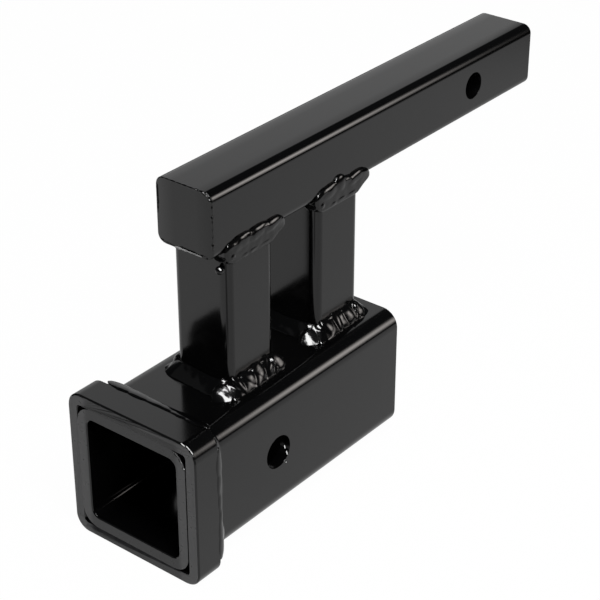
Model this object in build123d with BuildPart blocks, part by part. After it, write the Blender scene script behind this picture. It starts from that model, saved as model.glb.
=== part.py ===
"""Stepped hitch receiver extender: a 1-1/4 in shank carried above a 2 in receiver tube.

Millimetres. The origin is the middle of the pin hole through the shank. +Y runs along the
shank towards the vehicle, so the receiver's mouth faces -Y. +X is the right-hand side seen
from the mouth, and +Z is up.
"""
from build123d import *
import math
import os

os.makedirs("parts", exist_ok=True)

# Shank: a length of solid square bar with rolled corners, drilled for its pin
shank_size = 31.75
shank_corner = 4.5
shank_length = 244.0
shank_pin_bore = 13.5
shank_pin_from_end = 50.8
saw_break = 0.4

# Receiver tube: heavy square tube whose walls leave a 2 in class opening
tube_size = 63.5
tube_wall = 5.55
tube_corner = 8.5
tube_inner_corner = 4.0
tube_length = 152.4
receiver_pin_bore = 16.4
receiver_pin_from_mouth = 62.2
mouth_break = 0.5

# Mouth collar: a formed band slipped over the tube, loose on its right-hand side
collar_wall = 5.5
collar_width = 15.0
collar_corner = 8.0
collar_inner_corner = 2.0
collar_loose_side = 0.6
collar_edge = 0.7

# Posts: two offcuts of square bar that hold the shank above the tube
rise = 117.45
post_size = 31.75
post_corner = 4.5
front_post_from_mouth = 47.8
post_spacing = 61.6
shank_from_mouth = 39.5

# Fillet welds round the foot of each post, swollen at the corners and rippled at the sides
foot_leg_out = 6.3
foot_leg_up = 5.8
foot_crown = 0.25
foot_corner_swell = 0.9
foot_lump = 0.35
foot_lump_turn = 2.2
foot_side_lean = 0.8
foot_ripples = 3
foot_ripple = 0.8
steps_per_ripple = 8

# Welds that lap from each post's side over the rounded lower edge of the shank. They start
# bluntly at the front and run out behind the post as a web under the shank.
cap_reach_up = 6.4
cap_reach_down = 5.5
cap_proud = 1.5
cap_shoulder = 1.1
cap_root = 3.2
cap_bite = 0.6
cap_front_overrun = 1.6
cap_rear_overrun = 6.5
cap_front_taper = 6.0
cap_rear_taper = 11.0
cap_end_height = 0.35
cap_end_depth = 0.05
cap_lumps = 3
cap_lump = 0.45
steps_per_lump = 8

# Weld passes that fill the corner behind the collar, uneven in width
ring_leg_back = 6.4
ring_crown = 1.2
ring_waves = 2
ring_wave = 0.9
steps_per_wave = 6

# How far a bead's blank reaches into the rounded steel beside it before it is cut to its seat
bead_root = 2.0
corner_steps = 3

# Places and sizes that follow
tube_opening = tube_size - 2 * tube_wall
shank_end_y = shank_pin_from_end
shank_start_y = shank_end_y - shank_length
mouth_y = shank_start_y - shank_from_mouth
tube_z = -rise
tube_top_z = tube_z + tube_size / 2
shank_bottom_z = -shank_size / 2
post_height = shank_bottom_z - tube_top_z
front_post_y = mouth_y + front_post_from_mouth + post_size / 2
rear_post_y = front_post_y + post_spacing
collar_back_y = mouth_y + collar_width

X = Vector(1, 0, 0)
Y = Vector(0, 1, 0)
Z = Vector(0, 0, 1)


def finish(builder, name):
    """Label a finished piece and write it."""
    builder.part.label = name
    export_step(builder.part, f"parts/{name}.step")


# Shank bar, sawn square at both ends and cross-drilled near its free end
with BuildPart() as shank_bar:
    with BuildSketch(Plane.XZ.offset(-shank_start_y)):
        RectangleRounded(shank_size, shank_size, shank_corner)
    extrude(amount=-shank_length)
    end_faces = shank_bar.faces().filter_by(Axis.Y)
    chamfer(end_faces.edges(), length=saw_break)
    with BuildSketch(Plane.YZ):
        Circle(shank_pin_bore / 2)
    extrude(amount=shank_size, both=True, mode=Mode.SUBTRACT)
finish(shank_bar, "shank_bar")


# Receiver tube, open from end to end, with the pin hole through both side walls
with BuildPart() as receiver_tube:
    with BuildSketch(Plane.XZ.offset(-mouth_y)):
        with Locations((0, tube_z)):
            RectangleRounded(tube_size, tube_size, tube_corner)
            RectangleRounded(tube_opening, tube_opening, tube_inner_corner, mode=Mode.SUBTRACT)
    extrude(amount=-tube_length)
    mouth_face, rear_face = receiver_tube.faces().filter_by(Axis.Y).sort_by(Axis.Y)
    chamfer(mouth_face.inner_wires().edges(), length=mouth_break)
    chamfer(rear_face.edges(), length=saw_break)
    with BuildSketch(Plane.YZ):
        with Locations((mouth_y + receiver_pin_from_mouth, tube_z)):
            Circle(receiver_pin_bore / 2)
    extrude(amount=tube_size, both=True, mode=Mode.SUBTRACT)
finish(receiver_tube, "receiver_tube")


# Mouth collar, flush with the tube's mouth; its inner corners are tighter than the tube's
with BuildPart() as mouth_collar:
    with BuildSketch(Plane.XZ.offset(-mouth_y)):
        with Locations((collar_loose_side / 2, tube_z)):
            inner_width = tube_size + collar_loose_side
            RectangleRounded(inner_width + 2 * collar_wall, tube_size + 2 * collar_wall, collar_corner)
            RectangleRounded(inner_width, tube_size, collar_inner_corner, mode=Mode.SUBTRACT)
    extrude(amount=-collar_width)
    band_ends = mouth_collar.faces().filter_by(Axis.Y)
    chamfer([edge for face in band_ends for edge in face.outer_wire().edges()], length=collar_edge)
finish(mouth_collar, "mouth_collar")


# Posts, standing on the tube and reaching the flat underside of the shank
def post(centre_y):
    """One post, a sawn length of the square bar."""
    with BuildPart() as blank:
        with BuildSketch(Plane.XY.offset(tube_top_z)):
            with Locations((0, centre_y)):
                RectangleRounded(post_size, post_size, post_corner)
        extrude(amount=post_height)
    return blank


front_post = post(front_post_y)
rear_post = post(rear_post_y)
finish(front_post, "front_post")
finish(rear_post, "rear_post")


# Passes: beads along one side of a rounded square core, mitred at its two corners
def corner_pass(core, half, radius, centre, normal, rising, flat_steps, section, ruled):
    """One fillet bead in the corner between the core's side and the flat that it stands on.

    The flat faces along rising. For a share of the way along the side, from -1 to 1, a share of
    the turn to the mitre and the way out from the core, the section gives the bead's two legs
    and its crown. A ruled bead keeps a crease at each station; any other flows through them.
    """
    along_dir = rising.cross(normal)
    straight = half - radius
    mitre = math.pi / 4
    stations = [(-1, i / corner_steps - 1) for i in range(corner_steps)]
    stations += [(2 * i / flat_steps - 1, 0) for i in range(flat_steps + 1)]
    stations += [(1, (i + 1) / corner_steps) for i in range(corner_steps)]
    with BuildPart() as bead:
        for along, turned in stations:
            turn = turned * mitre
            outward = normal * math.cos(turn) + along_dir * math.sin(turn)
            seam = centre + along_dir * (along * straight) + normal * straight + outward * radius
            out, up, crown = section(along, abs(turned), outward)
            slant = math.hypot(out, up)
            crest = (out / 2 + crown * up / slant, up / 2 + crown * out / slant)
            root_up = up * (1 + bead_root / out)
            with BuildSketch(Plane(origin=seam, x_dir=outward, z_dir=outward.cross(rising))):
                with BuildLine():
                    Line((-bead_root, 0), (out, 0))
                    ThreePointArc((out, 0), crest, (-bead_root, root_up))
                    Line((-bead_root, root_up), (-bead_root, 0))
                make_face()
        loft(ruled=ruled)
        add(core.part, mode=Mode.SUBTRACT)
    return bead


# Foot welds: four passes round each post, seated on the tube
def foot_weld(post_body, post_y, normal, rippled, phase, name):
    """One pass; those at the sides stand steeper, in ripples, one for each of the welder's stops."""
    def section(along, turned, outward):
        swell = foot_corner_swell * turned ** 2
        lump = foot_lump * math.sin(foot_lump_turn * along + phase) * (1 - turned)
        stop = (along + 1) / 2 * foot_ripples % 1
        scallop = foot_ripple * 4 * stop * (1 - stop) * (1 - turned)
        lean = foot_side_lean * (1 - turned) if rippled else 0
        crown = foot_crown + (scallop if rippled else 0)
        return foot_leg_out + swell + lump - lean, foot_leg_up - lump + lean, crown

    centre = Vector(0, post_y, tube_top_z)
    flat_steps = steps_per_ripple * foot_ripples if rippled else foot_ripples
    weld = corner_pass(post_body, post_size / 2, post_corner, centre, normal, Z, flat_steps, section,
                       rippled)
    finish(weld, name)


for post_name, body, centre_y, phase in (("front_post", front_post, front_post_y, 0.4),
                                         ("rear_post", rear_post, rear_post_y, 2.1)):
    foot_weld(body, centre_y, -Y, False, phase, f"{post_name}_front_weld")
    foot_weld(body, centre_y, Y, False, phase + 1, f"{post_name}_rear_weld")
    foot_weld(body, centre_y, X, True, phase + 2, f"{post_name}_right_weld")
    foot_weld(body, centre_y, -X, True, phase + 3, f"{post_name}_left_weld")


# Collar welds: four passes behind the band, on the tube's four sides
def collar_weld(normal, phase, name):
    """One pass up to the edge break of the band, with a toe that wanders along the tube."""
    def section(along, turned, outward):
        stand_off = collar_loose_side * max(outward.dot(X), 0)
        wave = ring_wave * math.sin(math.pi * ring_waves * along + phase) * (1 - turned)
        return stand_off + collar_wall - collar_edge, ring_leg_back + wave, ring_crown

    centre = Vector(0, collar_back_y, tube_z)
    weld = corner_pass(receiver_tube, tube_size / 2, tube_corner, centre, normal, Y,
                       steps_per_wave * ring_waves, section, False)
    finish(weld, name)


collar_weld(Z, 0.3, "collar_top_weld")
collar_weld(X, 3.0, "collar_right_weld")
collar_weld(-Z, 1.9, "collar_bottom_weld")
collar_weld(-X, 4.4, "collar_left_weld")


# Cap welds: flat-faced beads that lap from a post's side up over the shank's rounded lower edge
def fullness(distance, length, least):
    """How full a bead is at a distance from its end, where it rounds down to its least share."""
    short = 1 - min(distance / length, 1)
    return least + (1 - least) * math.sqrt(1 - short ** 2)


def cap_weld(post_body, post_y, side, phase, name):
    """One bead, blunt at its front and slanting back to the shank at its rear."""
    front = -post_size / 2 - cap_front_overrun
    rear = post_size / 2 + cap_rear_overrun
    steps = steps_per_lump * cap_lumps
    outward = X * side
    with BuildPart() as weld:
        for i in range(steps + 1):
            share = i / steps
            run = front + (rear - front) * share
            lump = cap_lump * math.cos(2 * math.pi * cap_lumps * share + phase)
            full = min(fullness(run - front, cap_front_taper, cap_end_height),
                       fullness(rear - run, cap_rear_taper, cap_end_height))
            web = min((rear - run) / cap_rear_taper + cap_end_depth, 1)
            up = cap_reach_up * full + lump * full
            down = cap_reach_down * min(fullness(run - front, cap_front_taper, cap_end_depth), web)
            proud = cap_proud * full
            shoulder = min(cap_shoulder, proud, down / 2)
            origin = Vector(side * post_size / 2, post_y + run, shank_bottom_z)
            with BuildSketch(Plane(origin=origin, x_dir=outward, z_dir=outward.cross(Z))):
                with BuildLine():
                    Polyline((-cap_root, -down), (-cap_bite, -down),
                             (proud - shoulder / 2, shoulder / 2 - down),
                             (proud, shoulder - down), (proud, up - 2 * shoulder),
                             (proud - shoulder / 2, up - shoulder), (-cap_bite, up), (-cap_root, up),
                             close=True)
                make_face()
        loft(ruled=True)
        add([post_body.part, shank_bar.part], mode=Mode.SUBTRACT)
    finish(weld, name)


for post_name, body, centre_y, phase in (("front_post", front_post, front_post_y, 0.6),
                                         ("rear_post", rear_post, rear_post_y, 2.4)):
    cap_weld(body, centre_y, 1, phase, f"{post_name}_upper_right_weld")
    cap_weld(body, centre_y, -1, phase + 1.3, f"{post_name}_upper_left_weld")
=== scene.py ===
"""Stepped hitch receiver extender: a black powder-coated steel weldment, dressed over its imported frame.

Metres, apart from the places and sizes of drops and puddles, which are in millimetres. The origin is
the middle of the shank's pin hole, +Y runs along the shank to the vehicle, +X is the right-hand side
seen from the receiver's mouth, and +Z is up.
"""
import math
import bmesh
import bpy
from mathutils import Matrix, Vector, noise


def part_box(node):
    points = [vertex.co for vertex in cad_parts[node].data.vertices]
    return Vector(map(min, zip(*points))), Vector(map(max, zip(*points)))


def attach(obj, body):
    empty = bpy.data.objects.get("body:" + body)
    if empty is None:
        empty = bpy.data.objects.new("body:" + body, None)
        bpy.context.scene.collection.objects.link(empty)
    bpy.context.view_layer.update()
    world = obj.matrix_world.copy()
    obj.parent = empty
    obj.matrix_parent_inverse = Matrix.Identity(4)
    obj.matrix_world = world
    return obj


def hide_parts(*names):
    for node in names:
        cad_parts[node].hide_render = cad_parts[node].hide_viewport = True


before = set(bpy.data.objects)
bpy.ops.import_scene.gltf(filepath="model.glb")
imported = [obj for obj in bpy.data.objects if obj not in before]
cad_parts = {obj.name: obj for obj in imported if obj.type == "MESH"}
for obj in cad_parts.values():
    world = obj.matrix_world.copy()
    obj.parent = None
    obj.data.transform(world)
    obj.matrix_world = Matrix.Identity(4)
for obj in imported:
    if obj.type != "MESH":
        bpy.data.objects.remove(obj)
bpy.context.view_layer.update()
scene = bpy.context.scene
scene.view_settings.view_transform = "Standard"

# Camera
# The view of the photograph, found by fitting the object's edges: 38.7 degrees round to the
# right of the mouth and 30 degrees up, about 0.9 m away.
camera_place = Vector((0.45554, -0.6833, 0.34583))
camera_azimuth = math.radians(38.74)
camera_elevation = math.radians(30.0)
focal_pixels = 1789.23
photo_width = 600
sensor_width = 36.0

camera_data = bpy.data.cameras.new("camera")
camera_data.sensor_width = sensor_width
camera_data.lens = focal_pixels * sensor_width / photo_width
camera = bpy.data.objects.new("camera", camera_data)
camera.location = camera_place
camera.rotation_euler = (math.pi / 2 - camera_elevation, 0, camera_azimuth)
scene.collection.objects.link(camera)
scene.camera = camera

# Floor and daylight
# A studio of white paper that keeps a faint shadow, with white surroundings for the camera. In
# the coat's gloss the paper is brighter in front of the mouth, fades out far off, and carries a
# dark flag, in a strip that starts a little way out and runs on under the camera.
collar_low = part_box("mouth_collar")[0]
floor_gap = 0.0003
floor_half = 4.0
paper_grey = (0.8, 0.8, 0.8)
paper_glow = 0.985
paper_in_gloss, front_in_gloss = 0.62, 0.74
front_from, front_to = -0.15, -0.36
paper_middle = (0, -0.15, 0)
paper_fade_from, paper_fade_to = 0.5, 0.85
flag_half_width, flag_fade, flag_start, flag_share = 0.016, 0.03, 0.205, 0.35
room_tint, room_strength = (0.9, 0.95, 1), 0.03
backdrop_tint = (1, 1, 1)


def piece_from(name, work, smooth=False):
    """A linked object that holds the finished bmesh."""
    data = bpy.data.meshes.new(name)
    work.to_mesh(data)
    work.free()
    if smooth:
        data.shade_smooth()
    piece = bpy.data.objects.new(name, data)
    scene.collection.objects.link(piece)
    return piece


def added(tree, kind, sockets=(), **settings):
    """A new shader node; each of its sockets is given a value or another node's output."""
    node = tree.nodes.new("ShaderNode" + kind)
    for setting, value in settings.items():
        setattr(node, setting, value)
    for socket, value in dict(sockets).items():
        if isinstance(value, bpy.types.NodeSocket):
            tree.links.new(value, node.inputs[socket])
        else:
            node.inputs[socket].default_value = value
    return node


def worked_out(tree, operation, *values, clamp=False):
    """The output of one Math node; each value is a number or another node's output."""
    node = added(tree, "Math", dict(enumerate(values)), operation=operation, use_clamp=clamp)
    return node.outputs[0]


def eased(tree, value, start, end, first=0.0, last=1.0, easing="SMOOTHSTEP"):
    """The output that goes from first to last while the value goes from start to end."""
    sockets = {"Value": value, "From Min": start, "From Max": end, "To Min": first, "To Max": last}
    return added(tree, "MapRange", sockets, interpolation_type=easing).outputs["Result"]


work = bmesh.new()
bmesh.ops.create_grid(work, x_segments=1, y_segments=1, size=floor_half)
bmesh.ops.translate(work, verts=work.verts, vec=(0, 0, collar_low.z - floor_gap))
floor = piece_from("floor", work)

paper = bpy.data.materials.new("white_paper")
paper.use_nodes = True
tree = paper.node_tree
tree.nodes.clear()
spot = added(tree, "NewGeometry").outputs["Position"]
depth = added(tree, "SeparateXYZ", {0: spot}).outputs["Y"]
in_front = eased(tree, depth, front_from, front_to, paper_in_gloss, front_in_gloss, "LINEAR")
turned = added(tree, "Mapping", {"Vector": spot, "Location": paper_middle, "Rotation": (0, 0, camera_azimuth)},
               vector_type="TEXTURE").outputs[0]
across = added(tree, "SeparateXYZ", {0: turned}).outputs
beside = eased(tree, worked_out(tree, "ABSOLUTE", across["X"]), flag_half_width, flag_half_width + flag_fade,
               flag_share)
short_of = eased(tree, across["Y"], -flag_start, flag_fade - flag_start, flag_share)
off_flag = worked_out(tree, "MAXIMUM", beside, short_of)
reach = added(tree, "VectorMath", {0: turned}, operation="LENGTH").outputs["Value"]
near = eased(tree, reach, paper_fade_from, paper_fade_to, 1.0, 0.0)
glow = worked_out(tree, "MULTIPLY", worked_out(tree, "MULTIPLY", in_front, off_flag), near)
rays = added(tree, "LightPath").outputs
lit = added(tree, "BsdfDiffuse", {"Color": (*paper_grey, 1)}).outputs[0]
white = added(tree, "Emission", {"Strength": 1.0}).outputs[0]
glossy_white = added(tree, "Emission", {"Strength": glow}).outputs[0]
seen = added(tree, "MixShader", {0: paper_glow, 1: lit, 2: white}).outputs[0]
by_gloss = added(tree, "MixShader", {0: rays["Is Glossy Ray"], 1: lit, 2: glossy_white}).outputs[0]
by_camera = added(tree, "MixShader", {0: rays["Is Camera Ray"], 1: by_gloss, 2: seen}).outputs[0]
added(tree, "OutputMaterial", {"Surface": by_camera})
floor.data.materials.append(paper)

world = bpy.data.worlds.new("studio")
scene.world = world
world.use_nodes = True
tree = world.node_tree
tree.nodes.clear()
rays = added(tree, "LightPath").outputs
room = added(tree, "Background", {"Color": (*room_tint, 1), "Strength": room_strength}).outputs[0]
backdrop = added(tree, "Background", {"Color": (*backdrop_tint, 1)}).outputs[0]
by_camera = added(tree, "MixShader", {0: rays["Is Camera Ray"], 1: room, 2: backdrop}).outputs[0]
added(tree, "OutputWorld", {"Surface": by_camera})

# Studio lamps
# A broad soft panel behind on the left, a small warm one behind on the right, a long bright one
# high up on the right of the mouth, and a faint one in front on the left.
object_middle = (0.0, -0.1, -0.05)
daylight, warm = (1, 1, 1), (1, 0.94, 0.90)


def panel(name, towards, distance, width, height, radiance, color, fade, roll=0.0):
    """One rectangular lamp that faces the object; it dims over a share of its size at each edge."""
    data = bpy.data.lights.new(name, "AREA")
    data.shape = "RECTANGLE"
    data.size, data.size_y = width, height
    data.energy = radiance * math.pi * width * height
    data.color = color
    data.use_nodes = True
    tree = data.node_tree
    across = added(tree, "SeparateXYZ", {0: added(tree, "NewGeometry").outputs["Parametric"]}).outputs
    edges = [eased(tree, worked_out(tree, "PINGPONG", across[axis], 0.5), 0.0, fade) for axis in (0, 1)]
    tree.links.new(worked_out(tree, "MULTIPLY", *edges), tree.nodes["Emission"].inputs["Strength"])
    lamp = bpy.data.objects.new(name, data)
    direction = Vector(towards).normalized()
    lamp.location = Vector(object_middle) + direction * distance
    rolled = Matrix.Rotation(math.radians(roll), 3, "Z").to_quaternion()
    lamp.rotation_euler = (direction.to_track_quat("Z", "Y") @ rolled).to_euler()
    scene.collection.objects.link(lamp)


panel("left_panel", towards=(-0.795, 0.516, 0.32), distance=1.6, width=2.2, height=1.7,
      radiance=0.63, color=daylight, fade=0.14)
panel("right_strip", towards=(0.70, 0.62, 0.22), distance=0.95, width=0.54, height=0.54,
      radiance=6.2, color=warm, fade=0.5)
panel("high_lamp", towards=(0.46, -0.287, 0.84), distance=1.2, width=0.34, height=0.92,
      radiance=24.0, color=daylight, fade=0.12, roll=23.0)
panel("front_panel", towards=(-0.6, -0.8, 0.5), distance=1.8, width=1.4, height=1.0,
      radiance=0.08, color=daylight, fade=0.2)

# Receiver tube
# Heavy square steel tube, sawn to length and drilled through both sides, then powder-coated
# black. The coat is glossy, with the fine orange peel of cured powder; on the sawn mouth it is
# rougher, and its left and right faces are painted paler, a painted sheen.
tube_low, tube_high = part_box("receiver_tube")
coat_tones = ((0.0006, 0.0006, 0.0007), (0.0018, 0.0018, 0.0019))
sawn_tones = ((0.0015, 0.0015, 0.0016), (0.02, 0.02, 0.021))
# Painted sheen: the paler colour painted on the sides of the sawn mouth, and where it starts and ends.
painted_side_sheen = (0.05, 0.05, 0.051)
side_sheen_from, side_sheen_to = 0.0255, 0.0285
coat_ior = 1.5
broad_clouds, fine_clouds = 45.0, 420.0
pin_place = Vector((0, -0.1705, -0.11745))
pin_reach = 0.0087
merge_reach = 0.000002
flat_angle, sharp_angle = math.radians(0.3), math.radians(30)
end_margin = 0.002
seam_reach = 0.0001
mouth_reach = 0.001
facing_out, facing_across = 0.9, 0.1
tube_rounding = 0.0005
along_bar, upright = Vector((0.0, 1.0, 0.0)), Vector((0.0, 0.0, 1.0))


def orange_peel_group():
    """Node group: the coat's fine waviness as a normal, and how its gloss changes over it.

    A bar's top may also be crowned: it falls away past a flat of twice Bar Half, by Bar Crown.
    """
    group = bpy.data.node_groups.new("orange_peel", "ShaderNodeTree")
    for name, default in (("Grain Size", 0.0014), ("Depth", 0.000004), ("Gloss", 0.13),
                          ("Gloss Change", 0.05), ("Cloud Scale", broad_clouds), ("Bar Half", 1.0),
                          ("Bar Crown", 0.0)):
        socket = group.interface.new_socket(name=name, in_out="INPUT", socket_type="NodeSocketFloat")
        socket.default_value = default
    for name, kind in (("Normal", "NodeSocketVector"), ("Roughness", "NodeSocketFloat"),
                       ("Mottle", "NodeSocketFloat")):
        group.interface.new_socket(name=name, in_out="OUTPUT", socket_type=kind)
    given = group.nodes.new("NodeGroupInput").outputs
    result = group.nodes.new("NodeGroupOutput").inputs
    place = added(group, "TexCoord").outputs["Object"]
    per_grain = worked_out(group, "DIVIDE", 1.0, given["Grain Size"])
    peel = added(group, "TexNoise", {"Vector": place, "Scale": per_grain, "Detail": 2.0}).outputs["Fac"]
    height = worked_out(group, "MULTIPLY", peel, given["Depth"])
    off_middle = worked_out(group, "ABSOLUTE", added(group, "SeparateXYZ", {0: place}).outputs["X"])
    past_flat = worked_out(group, "SUBTRACT", off_middle, given["Bar Half"], clamp=True)
    fall = worked_out(group, "MULTIPLY", past_flat, past_flat)
    crowned = worked_out(group, "MULTIPLY_ADD", fall, given["Bar Crown"], height)
    bump = added(group, "Bump", {"Height": crowned, "Distance": 1.0}).outputs["Normal"]
    cloud = added(group, "TexNoise", {"Vector": place, "Scale": given["Cloud Scale"], "Detail": 5.0})
    mottle = cloud.outputs["Fac"]
    centred = worked_out(group, "SUBTRACT", mottle, 0.5)
    rough = worked_out(group, "MULTIPLY_ADD", centred, given["Gloss Change"], given["Gloss"])
    for name, source in (("Normal", bump), ("Roughness", rough), ("Mottle", mottle)):
        group.links.new(source, result[name])
    return group


orange_peel = orange_peel_group()


def powder_coat(name, grain, depth, gloss, gloss_change, tones=coat_tones, clouds=broad_clouds,
                crown=(1.0, 0.0), specular=0.5):
    """Black powder coat; the two tones are the ends of its faint mottling."""
    material = bpy.data.materials.new(name)
    material.use_nodes = True
    tree = material.node_tree
    shader = tree.nodes["Principled BSDF"].inputs
    shader["IOR"].default_value = coat_ior
    shader["Specular IOR Level"].default_value = specular
    peel = added(tree, "Group", {"Grain Size": grain, "Depth": depth, "Gloss": gloss,
                                 "Gloss Change": gloss_change, "Cloud Scale": clouds,
                                 "Bar Half": crown[0], "Bar Crown": crown[1]},
                 node_tree=orange_peel).outputs
    dark, pale = tones
    tint = added(tree, "Mix", {0: peel["Mottle"], 6: (*dark, 1), 7: (*pale, 1)}, data_type="RGBA")
    tree.links.new(tint.outputs[2], shader["Base Color"])
    tree.links.new(peel["Roughness"], shader["Roughness"])
    tree.links.new(peel["Normal"], shader["Normal"])
    return material


def clean_copy(name, nodes):
    """A mesh made of copies of CAD nodes, with their loose triangles joined into whole faces."""
    work = bmesh.new()
    for node in nodes:
        work.from_mesh(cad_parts[node].data)
    bmesh.ops.remove_doubles(work, verts=work.verts, dist=merge_reach)
    bmesh.ops.dissolve_limit(work, angle_limit=flat_angle, verts=work.verts, edges=work.edges)
    return piece_from(name, work)


def cut_near_ends(piece, axis, low, high):
    """Cuts the long faces close to both ends, so that the rounding there shades no further."""
    work = bmesh.new()
    work.from_mesh(piece.data)
    for place in (low + end_margin, high - end_margin):
        everything = work.verts[:] + work.edges[:] + work.faces[:]
        bmesh.ops.bisect_plane(work, geom=everything, plane_co=axis * place, plane_no=axis)
    work.to_mesh(piece.data)
    work.free()


def apply_modifiers(piece):
    """The piece's mesh with its modifiers in it."""
    bpy.context.view_layer.update()
    evaluated = piece.evaluated_get(bpy.context.evaluated_depsgraph_get())
    data = bpy.data.meshes.new_from_object(evaluated)
    piece.modifiers.clear()
    piece.data = data
    data.name = piece.name


def soften_edges(piece, width, segments, painted_over=None):
    """Rounds the sharp edges as thick paint does, but not those that paint has filled."""
    work = bmesh.new()
    work.from_mesh(piece.data)
    rounding = work.edges.layers.float.new("bevel_weight_edge")
    for edge in work.edges:
        sharp = edge.is_manifold and edge.calc_face_angle() > sharp_angle
        filled = painted_over is not None and painted_over(edge)
        edge[rounding] = 1.0 if sharp and not filled else 0.0
    work.to_mesh(piece.data)
    work.free()
    bevel = piece.modifiers.new("paint_rounding", "BEVEL")
    bevel.width = width
    bevel.segments = segments
    bevel.limit_method = "WEIGHT"
    piece.data.shade_smooth()
    level = piece.modifiers.new("level_flats", "WEIGHTED_NORMAL")
    level.mode = "FACE_AREA"
    level.weight = 100
    apply_modifiers(piece)


def flush_seam(edge):
    """Whether an edge lies on the seam between tube and band where the two are flush."""
    centre = (edge.verts[0].co + edge.verts[1].co) / 2
    run = edge.verts[0].co - edge.verts[1].co
    from_level = min(abs(centre.z - tube_low.z), abs(centre.z - tube_high.z))
    on_level = from_level < seam_reach and abs(run.z) < seam_reach
    on_left = abs(centre.x - tube_low.x) < seam_reach and abs(run.x) < seam_reach
    return abs(centre.y - tube_low.y) < seam_reach and (on_level or on_left)


def dress(piece, material, slot, *nodes):
    """The piece takes its coat, rides on the one body and stands for its CAD nodes."""
    piece.data.materials.clear()
    piece.data.materials.append(material)
    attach(piece, "root")
    if nodes:
        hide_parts(*nodes)


def coat_faces(piece, material, chosen):
    """The chosen faces take another coat than the rest of the piece."""
    piece.data.materials.append(material)
    for face in piece.data.polygons:
        if chosen(face):
            face.material_index = len(piece.data.materials) - 1


def looks_out_of_mouth(face):
    """Whether a face lies in the sawn end at the mouth."""
    return face.normal.y < -facing_out and face.center.y < tube_low.y + mouth_reach


def in_pin_hole(face):
    """Whether a face lies in the hole that is drilled through the tube's sides."""
    from_pin = math.hypot(face.center.y - pin_place.y, face.center.z - pin_place.z)
    return from_pin < pin_reach and abs(face.normal.x) < facing_across


tube_coat = powder_coat("tube_black_coat", grain=0.0011, depth=0.000006, gloss=0.13, gloss_change=0.04)
bore_coat = powder_coat("drilled_hole_black_coat", grain=0.0019, depth=0.00016, gloss=0.2,
                        gloss_change=0.05, specular=0.22)
sawn_coat = powder_coat("sawn_end_black_coat", grain=0.0008, depth=0.00002, gloss=0.32,
                        gloss_change=0.3, tones=sawn_tones, clouds=fine_clouds)
tree = sawn_coat.node_tree
# Painted sheen: towards the left and right faces of the sawn mouth the colour is painted paler, standing in for
# the light they catch.
across = added(tree, "SeparateXYZ", {0: added(tree, "TexCoord").outputs["Object"]}).outputs
at_sides = eased(tree, worked_out(tree, "ABSOLUTE", across["X"]), side_sheen_from, side_sheen_to)
base = tree.nodes["Principled BSDF"].inputs["Base Color"]
side_sheen_mix = added(tree, "Mix", {0: at_sides, 6: base.links[0].from_socket, 7: (*painted_side_sheen, 1)}, data_type="RGBA")
tree.links.new(side_sheen_mix.outputs[2], base)

tube = clean_copy("square_tube", ["receiver_tube"])
cut_near_ends(tube, along_bar, tube_low.y, tube_high.y)
soften_edges(tube, tube_rounding, 3, flush_seam)
dress(tube, tube_coat, "tube_coat", "receiver_tube")
coat_faces(tube, sawn_coat, looks_out_of_mouth)
coat_faces(tube, bore_coat, in_pin_hole)

# Mouth collar
# A reinforcing band of flat bar formed round the tube's mouth, flush with its end and coated
# with it. Its inner corners are tighter than the tube's, and its upper front rim is nicked.
collar_rounding = 0.00045
rim_above_tube = 0.0015
nick_spread, nick_bias = 3, 0.1
collar_nick_step, collar_nick_depth = 0.0009, 0.0009


def nick_edges(piece, chosen, step, depth):
    """Small nicks along the chosen sharp edges, such as a saw leaves under the paint."""
    work = bmesh.new()
    work.from_mesh(piece.data)
    for edge in [edge for edge in work.edges if edge.is_manifold and chosen(edge)]:
        if edge.calc_face_angle() < sharp_angle:
            continue
        inward = -(edge.link_faces[0].normal + edge.link_faces[1].normal).normalized()
        parts = [edge]
        while parts[0].calc_length() > step:
            parts += [bmesh.utils.edge_split(part, part.verts[0], 0.5)[0] for part in parts]
        for vertex in {vertex for part in parts for vertex in part.verts}:
            bite = max(0.0, noise.noise(vertex.co / (nick_spread * step)) + nick_bias)
            vertex.co += inward * (depth * bite)
    work.to_mesh(piece.data)
    work.free()


def on_rim(edge, rim_y):
    """Whether an edge lies in the plane of the face that looks out towards the mouth's side."""
    return all(abs(vertex.co.y - rim_y) < seam_reach for vertex in edge.verts)


def on_upper_rim(edge):
    """Whether an edge of the band's front rim lies above the tube."""
    top = max(vertex.co.z for vertex in edge.verts)
    return on_rim(edge, collar_low.y) and top > tube_high.z + rim_above_tube


collar_coat = powder_coat("collar_black_coat", grain=0.0011, depth=0.000007, gloss=0.15, gloss_change=0.05)
collar = clean_copy("mouth_band", ["mouth_collar"])
nick_edges(collar, on_upper_rim, collar_nick_step, collar_nick_depth)
soften_edges(collar, collar_rounding, 3, flush_seam)
dress(collar, collar_coat, "collar_coat", "mouth_collar")
coat_faces(collar, sawn_coat, looks_out_of_mouth)

# Paint bridges
# Where the band stands a little off the tube's right side, beads of powder coat span the gap.
# Coat has also gathered in thin flat drops at the pin hole's rim and the mouth's top right gap.
mm = 0.001
bead_thick = 0.5
beads = ((-96.6, 1.6), (-100.4, 0.7), (-107.2, 1.1), (-114.8, 0.6), (-121.5, 1.5), (-128.9, 0.8),
         (-134.2, 1.3))
bead_line = (tube_high.x + 0.0003, tube_low.y + 0.0007)
corner_face = (0.52, -0.435, 0.734)
flat_drop_thick = 0.08
flat_drops = (((31.6, -165.9, -117.2), 1.0, 0.5, 90), ((31.6, -164.4, -121.2), 1.1, 0.5, 90),
              ((31.6, -165.2, -125.6), 0.8, 0.5, 90), ((26.6, -232.6, -87.1), 1.9, 0.45, 32),
              ((29.2, -232.6, -89.2), 1.5, 0.45, 52), ((31.0, -232.6, -92.3), 1.2, 0.4, 75),
              ((31.0, -232.5, -80.5), 1.2, 0.5, 8), ((33.9, -232.4, -81.1), 1.5, 0.5, 30),
              ((35.6, -232.3, -82.5), 1.2, 0.5, 50))


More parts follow.
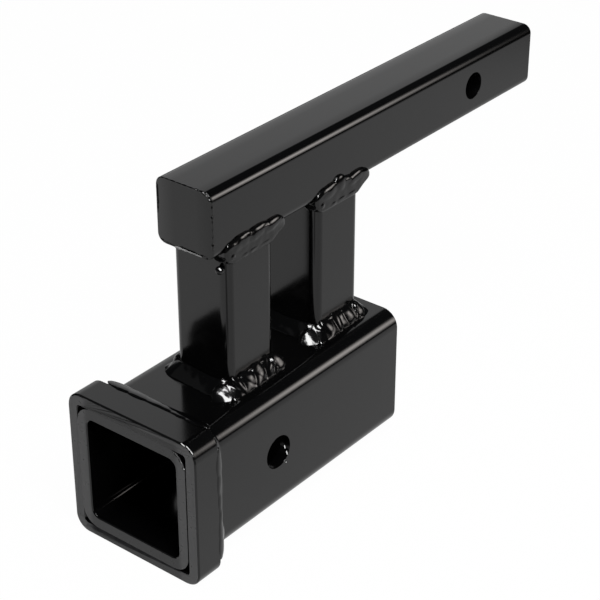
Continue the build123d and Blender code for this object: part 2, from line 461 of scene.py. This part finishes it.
def puddle(place, normal, along, size):
    """Where one flattened drop lies, given its upward normal and its run; in millimetres."""
    up = Vector(normal).normalized()
    run = Vector(along)
    run = (run - up * run.dot(up)).normalized()
    turn = Matrix((run, up.cross(run), up)).transposed()
    return Matrix.LocRotScale(Vector(place) * mm, turn.to_quaternion(), Vector(size) * mm)


def add_drops(work, shapes, subdivisions=3):
    """Adds one small ellipsoid for each shape, such as a drop of paint or metal."""
    for shape in shapes:
        bmesh.ops.create_icosphere(work, subdivisions=subdivisions, radius=1.0, matrix=shape)


bead_shapes = [Matrix.LocRotScale(Vector((*bead_line, height * mm)), None,
                                  Vector((bead_thick, bead_thick, half_length)) * mm)
               for height, half_length in beads]
drop_shapes = [puddle(place, corner_face, (math.cos(math.radians(tilt)), 0, -math.sin(math.radians(tilt))),
                      (half_length, half_width, flat_drop_thick))
               for place, half_length, half_width, tilt in flat_drops]
work = bmesh.new()
add_drops(work, bead_shapes, 2)
add_drops(work, drop_shapes)
dress(piece_from("paint_bridges", work, smooth=True), collar_coat, "collar_coat")

# Posts
# Two offcuts of the shank's solid square bar, stood on the tube and welded to it all round,
# that hold the shank above it. They are coated black with the rest.
post_rounding = 0.0002
post_coat = powder_coat("post_black_coat", grain=0.0009, depth=0.0000065, gloss=0.12, gloss_change=0.04)
for post_name in ("front_post", "rear_post"):
    post = clean_copy(post_name + "_bar", [post_name])
    post_low, post_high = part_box(post_name)
    cut_near_ends(post, upright, post_low.z, post_high.z)
    soften_edges(post, post_rounding, 2)
    dress(post, post_coat, "post_coat", post_name)

# Shank bar
# Solid square bar with rolled corners, sawn off at both ends and drilled for its pin. Its finish
# shades it with a very slight crown, and the saw has nicked the rim of the near end.
shank_low, shank_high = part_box("shank_bar")
shank_flat_half, shank_crown = 0.0060, -11.5
shank_rounding = 0.0005
shank_nick_step, shank_nick_depth = 0.0008, 0.0011
shank_coat = powder_coat("shank_black_coat", grain=0.0010, depth=0.000005, gloss=0.13, gloss_change=0.04,
                         crown=(shank_flat_half, shank_crown))
shank = clean_copy("square_shank", ["shank_bar"])
cut_near_ends(shank, along_bar, shank_low.y, shank_high.y)
nick_edges(shank, lambda edge: on_rim(edge, shank_low.y), shank_nick_step, shank_nick_depth)
soften_edges(shank, shank_rounding, 2)
dress(shank, shank_coat, "shank_coat", "shank_bar")

# Saw burr
# The lip that the saw left round the shank's near end. It is thick with paint along the upper
# edge and the right-hand one; along the lower edge it is a thin pale line, a painted highlight.
lip_y, lip_glint_y, burr_y = -192.95, -193.25, -193.0
upper_lip_z, right_lip_x, burr_z = 15.6, 15.6, -15.45
corner_middle, corner_radius = 11.4, 4.2
upper_lip = ((-9.6, 1.9, 0.42), (-6.4, 2.2, 0.5), (-2.7, 2.0, 0.44), (0.4, 1.8, 0.56), (3.6, 2.3, 0.48),
             (7.1, 1.9, 0.6), (9.9, 1.6, 0.62))
corner_turns, corner_lip = (0.25, 0.75, 1.25), (1.5, 0.62, 0.62)
right_lip = ((8.6, 2.2, 0.5), (4.9, 1.3, 0.72), (2.2, 1.5, 0.4), (-1.3, 1.4, 0.38), (-4.6, 1.2, 0.36),
             (-8.4, 1.7, 0.74))
lip_glints = ((11.9, 15.3, (1.5, 0.7, 0.35)), (13.6, 14.5, (1.2, 0.6, 0.35)),
              (14.8, 13.2, (0.9, 0.7, 0.35)), (7.4, 15.9, (0.7, 0.5, 0.3)))
# Painted highlight: the thin pale line along the lower edge, and its pale tones.
burr_glint_line = ((-4.0, 2.2, 0.6), (-0.8, 2.8, 0.4), (3.2, 3.2, 0.32), (6.6, 2.6, 0.26))
painted_glint_tones = ((0.1, 0.1, 0.1), (0.3, 0.3, 0.3))


def drops_piece(name, shapes):
    """One piece of small ellipsoids."""
    work = bmesh.new()
    add_drops(work, shapes)
    return piece_from(name, work, smooth=True)


lip = [puddle((x, lip_y, upper_lip_z), (0, -0.7, 0.7), (1, 0, 0.01), (half_length, thick, thick))
       for x, half_length, thick in upper_lip]
lip += [puddle((corner_middle + corner_radius * math.sin(turn), lip_y,
                corner_middle + corner_radius * math.cos(turn)),
               (math.sin(turn), -1, math.cos(turn)), (math.cos(turn), 0, -math.sin(turn)), corner_lip)
        for turn in corner_turns]
lip += [puddle((right_lip_x, lip_y, z), (0.7, -0.7, 0), (0, 0, 1), (half_length, thick, thick))
        for z, half_length, thick in right_lip]
lip += [puddle((x, lip_glint_y, z), corner_face, (1, 0.1, -0.6), size) for x, z, size in lip_glints]
dress(drops_piece("saw_lip", lip), shank_coat, "shank_coat")
# Painted highlight: this pale coat stands in for the glint along the lower edge.
burr_glint_coat = powder_coat("saw_burr_painted_glint_coat", grain=0.0008, depth=0.00001, gloss=0.6, gloss_change=0.2,
                        tones=painted_glint_tones, clouds=fine_clouds, specular=0.2)
glint_line_drops = [puddle((x, burr_y, burr_z), (0, -1, 0.1), (1, 0, 0), (half_length, thick, thick))
        for x, half_length, thick in burr_glint_line]
dress(drops_piece("saw_burr", glint_line_drops), burr_glint_coat, "shank_coat")

# Collar welds
# Four passes laid behind the band where it meets the tube, uneven in width and coated over.
# Each laps up on to the band's back edge in six flat tongues.
bead_swell, bead_softening = 0.0002, 0.5
tube_middle_z = -117.45
lap_y, lap_lean, lap_thick = -217.1, 0.3, 0.9
right_lap_x, left_lap_x = 36.9, -36.3
top_lap_z, bottom_lap_z = -80.8, -153.5
level_lap_back, level_lap_right, level_lap_wider, level_lap_thick = 1.2, 1.5, 0.4, 0.75
lap_tongues = ((-21.0, 9.0, 2.7), (-11.0, 10.0, 2.5), (-2.0, 9.0, 2.1), (6.5, 9.0, 1.7), (14.0, 9.0, 2.3),
               (22.0, 8.0, 2.6))


def laid_bead(name, nodes, puddles, voxel, smoothing, roughness, wrinkle):
    """One welded deposit: the CAD passes and puddles fused, softened and a little wrinkled."""
    work = bmesh.new()
    for node in nodes:
        work.from_mesh(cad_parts[node].data)
    bmesh.ops.remove_doubles(work, verts=work.verts, dist=merge_reach)
    add_drops(work, puddles)
    bead = piece_from(name, work)
    remesh = bead.modifiers.new("fuse", "REMESH")
    remesh.mode = "VOXEL"
    remesh.voxel_size = voxel
    push = bead.modifiers.new("swell", "DISPLACE")
    push.strength = bead_swell
    push.mid_level = 0.0
    ease = bead.modifiers.new("soften", "SMOOTH")
    ease.factor = bead_softening
    ease.iterations = smoothing
    apply_modifiers(bead)
    normals = [vertex.normal.copy() for vertex in bead.data.vertices]
    for vertex, normal in zip(bead.data.vertices, normals):
        vertex.co += normal * (roughness * noise.noise(vertex.co / wrinkle))
    bead.data.shade_smooth()
    return bead


weld_coat = powder_coat("weld_black_coat", grain=0.0016, depth=0.000006, gloss=0.12, gloss_change=0.05)
ring_nodes = [f"collar_{side}_weld" for side in ("top", "right", "bottom", "left")]
laps = []
for along, half_length, half_width in lap_tongues:
    for side, x in ((1, right_lap_x), (-1, left_lap_x)):
        laps.append(puddle((x, lap_y, tube_middle_z - side * along), (side, lap_lean, 0), (0, 0, 1),
                           (half_length, half_width, lap_thick)))
    for side, z in ((1, top_lap_z), (-1, bottom_lap_z)):
        laps.append(puddle((along + level_lap_right, lap_y + level_lap_back, z), (0, lap_lean, side), (1, 0, 0),
                           (half_length, half_width + level_lap_wider, level_lap_thick)))
ring = laid_bead("collar_bead", ring_nodes, laps, voxel=0.0004, smoothing=5, roughness=0.00018, wrinkle=0.006)
dress(ring, weld_coat, "collar_weld_coat", *ring_nodes)

# Foot welds
# Four passes round the foot of each post, seated on the tube. The side passes are puddled in
# overlapping crescents, and the corners towards the mouth are flat and full.
foot_x, foot_z, crescent_width, crescent_thick = 18.2, -82.45, 5.8, 1.6
side_face = (0.86, -0.04, 0.5)
crescents = {"front_post": ((-181.0, 2.4, 0.2), (-174.8, 4.2, 0.5), (-167.9, 4.4, 0.0), (-161.0, 2.4, -0.5),
                            (-155.5, 4.2, 0.4)),
             "rear_post": ((-117.2, 3.6, 0.3), (-110.6, 3.2, 0.0), (-102.4, 4.4, 0.5), (-95.0, 3.4, 0.2))}
post_spacing = {"front_post": 0.0, "rear_post": 61.6}
crescent_bow = 1.7
corner_pool = ((16.3, -188.5, -84.95), (1.15, 0.16, -0.73), (6.2, 6.2, 1.4))
left_end_pool = ((-19.6, -183.2, -85.0), (-0.12, 0.03, 1), (0.25, 1, 0), (4.2, 1.9, 0.9))
toe_x, toe_y, toe_z, toe_face, toe_size = 16.1, -169.0, -78.9, (0.86, 0, 0.5), (13.0, 0.7, 0.9)
glint_thick = 0.55
foot_glints = ((12.4, -185.2, -80.2, 1.9), (16.2, -183.0, -80.3, 1.9), (21.0, -187.6, -85.0, 1.4),
               (18.2, -158.4, -79.6, 1.5), (18.8, -158.9, -81.2, 1.5), (19.8, -158.6, -84.0, 1.7))
foot_coat = powder_coat("foot_weld_black_coat", grain=0.0021, depth=0.000024, gloss=0.12, gloss_change=0.05)
for post_name, side_puddles in crescents.items():
    back = post_spacing[post_name]
    puddles = []
    for side in (1, -1):
        for y, half_length, slant in side_puddles:
            puddles.append(puddle((side * foot_x, y, foot_z), (side * side_face[0], *side_face[1:]),
                                  (side * -slant, 1, crescent_bow * slant),
                                  (half_length, crescent_width, crescent_thick)))
    (x, y, z), along, size = corner_pool
    puddles.append(puddle((x, back + y, z), corner_face, along, size))
    (x, y, z), normal, along, size = left_end_pool
    puddles.append(puddle((x, back + y, z), normal, along, size))
    for side in (1, -1):
        puddles.append(puddle((side * toe_x, back + toe_y, toe_z), (side * toe_face[0], *toe_face[1:]),
                              (0, 1, 0), toe_size))
    for x, y, z, radius in foot_glints:
        puddles.append(puddle((x, y + back, z), corner_face, (1, 1, 0), (radius, radius, glint_thick)))
    foot_nodes = [f"{post_name}_{side}_weld" for side in ("front", "right", "rear", "left")]
    foot = laid_bead(post_name + "_foot_bead", foot_nodes, puddles, voxel=0.00028, smoothing=7,
                     roughness=0.0002, wrinkle=0.004)
    dress(foot, foot_coat, "foot_weld_coat", *foot_nodes)

# Upper welds
# Thick lumpy beads that lap from each post's side over the shank's lower edge, with a rope of
# metal along the post and a dark hollow round the front corner. The rear ones are smoother.
lobe_x, lobe_thick = 16.3, 1.3
ropes = ((-5.5, -19.1, 5.5), (0.0, -18.8, 8.0), (8.0, -18.9, 8.5))
rope_x, rope_width, rope_thick = 15.7, 1.8, 1.9
end_ball = ((15.4, -13.6, -16.8), (0.5, -0.6, 0.6), (2.6, 2.4, 2.0))
hollow_y, hollow_face = -17.2, (0.25, -0.65, 0.7)
hollow_plates = ((13.2, -17.2, (3.4, 2.0, 0.5)), (8.8, -16.8, (4.2, 1.2, 0.45)))
for post_name, post_y, skin, lobes in (
        ("front_post", -169.0, {"smoothing": 6, "roughness": 0.00016, "wrinkle": 0.0035},
         ((-176.5, -13.2, 9.0, 3.6), (-166.5, -12.9, 9.5, 3.4), (-157.0, -13.0, 8.5, 3.0))),
        ("rear_post", -107.4, {"smoothing": 9, "roughness": 0.00013, "wrinkle": 0.0042},
         ((-115.5, -13.1, 9.0, 3.6), (-107.2, -12.0, 4.6, 4.6), (-97.0, -13.0, 9.0, 3.0)))):
    for side_name, side in (("right", 1), ("left", -1)):
        puddles = []
        for y, z, half_length, half_width in lobes:
            puddles.append(puddle((side * lobe_x, y, z), (side, 0, 0.03), (0, 1, 0.16),
                                  (half_length, half_width, lobe_thick)))
        for y, z, half_length in ropes:
            puddles.append(puddle((side * rope_x, post_y + y, z), (side, 0, 0), (0, 1, 0.05),
                                  (half_length, rope_width, rope_thick)))
        (x, y, z), normal, size = end_ball
        puddles.append(puddle((side * x, post_y + y, z), (side * normal[0], *normal[1:]), (0, 0, 1), size))
        for x, z, size in hollow_plates:
            puddles.append(puddle((side * x, post_y + hollow_y, z), (side * hollow_face[0], *hollow_face[1:]),
                                  (1, 0, 0), size))
        node = f"{post_name}_upper_{side_name}_weld"
        cap = laid_bead(f"{post_name}_{side_name}_cap_bead", [node], puddles, voxel=0.00025, **skin)
        dress(cap, weld_coat, "cap_weld_coat", node)

# Spatter
# A drop of weld metal thrown on to the front post's corner, with a flat glint on it, and a few
# small ones by the welds. The coat has gone over them.
flattening = 0.9
spatter_drops = ((13.0, -186.2, -23.4, 2.1), (18.6, -157.2, -81.6, 0.7), (19.8, -155.4, -83.2, 0.5),
                 (12.0, -185.2, -79.0, 0.6), (20.5, -162.5, -84.9, 0.5), (10.0, -128.0, -84.6, 0.6))
spatter_shapes = [Matrix.LocRotScale(Vector((x, y, z)) * mm, None,
                                     Vector((radius, radius, radius * flattening)) * mm)
                  for x, y, z, radius in spatter_drops]
spatter_shapes.append(puddle((13.75, -186.95, -22.3), corner_face, (1, 1, 0), (1.7, 1.5, 0.5)))
dress(drops_piece("weld_spatter", spatter_shapes), weld_coat, "cap_weld_coat")
